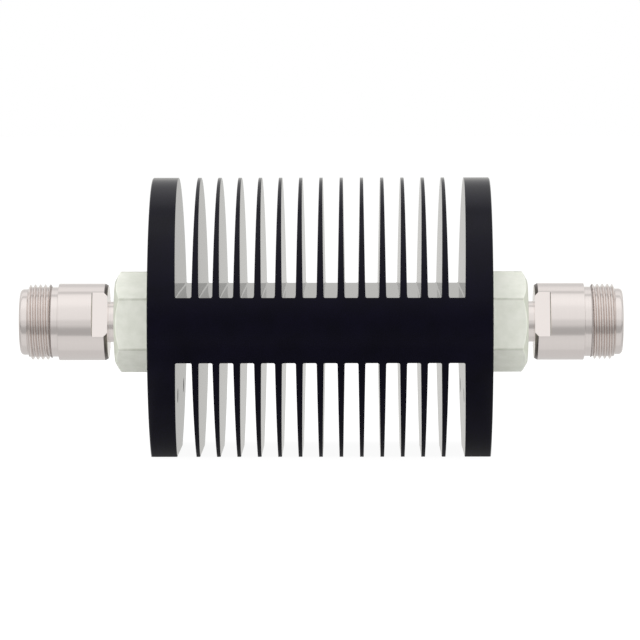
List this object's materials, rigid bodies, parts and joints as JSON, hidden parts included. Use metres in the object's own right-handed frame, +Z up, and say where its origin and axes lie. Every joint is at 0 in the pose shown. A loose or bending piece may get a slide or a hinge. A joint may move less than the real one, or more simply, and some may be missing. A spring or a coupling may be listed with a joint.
{
  "type": "coaxial rf attenuator",
  "caption": "Coaxial power attenuator: a round, finned heat sink that lies on a base flat, with a hex bushing and a threaded coaxial jack at each end.",
  "frame": {"origin": "middle of the base flat, under the coax axis and midway between the two jacks", "axes": "+X along the coax axis from the input to the output jack, +Z up from the base flat"},
  "size_m": [0.1262, 0.0604, 0.0575],
  "materials": {
    "black_anodised": "black anodised, satin",
    "chromated": "clear chromate, matte",
    "stainless": "turned and passivated",
    "ptfe": "turned",
    "gold_plate": "gold plated",
    "copper": "machined copper",
    "chip_ceramic": "fired"
  },
  "bodies": {
    "root": {"heat_sink": "black_anodised", "input_hex_bushing": "chromated", "output_hex_bushing": "chromated", "input_jack_shell": "stainless", "output_jack_shell": "stainless", "input_insulator": "ptfe", "output_insulator": "ptfe", "input_contact": "gold_plate", "output_contact": "gold_plate", "input_line_sleeve": "ptfe", "output_line_sleeve": "ptfe", "chip_carrier": "copper", "carrier_cover": "copper", "attenuator_chip": "chip_ceramic", "input_tab": "gold_plate", "output_tab": "gold_plate"}
  },
  "joints": []
}
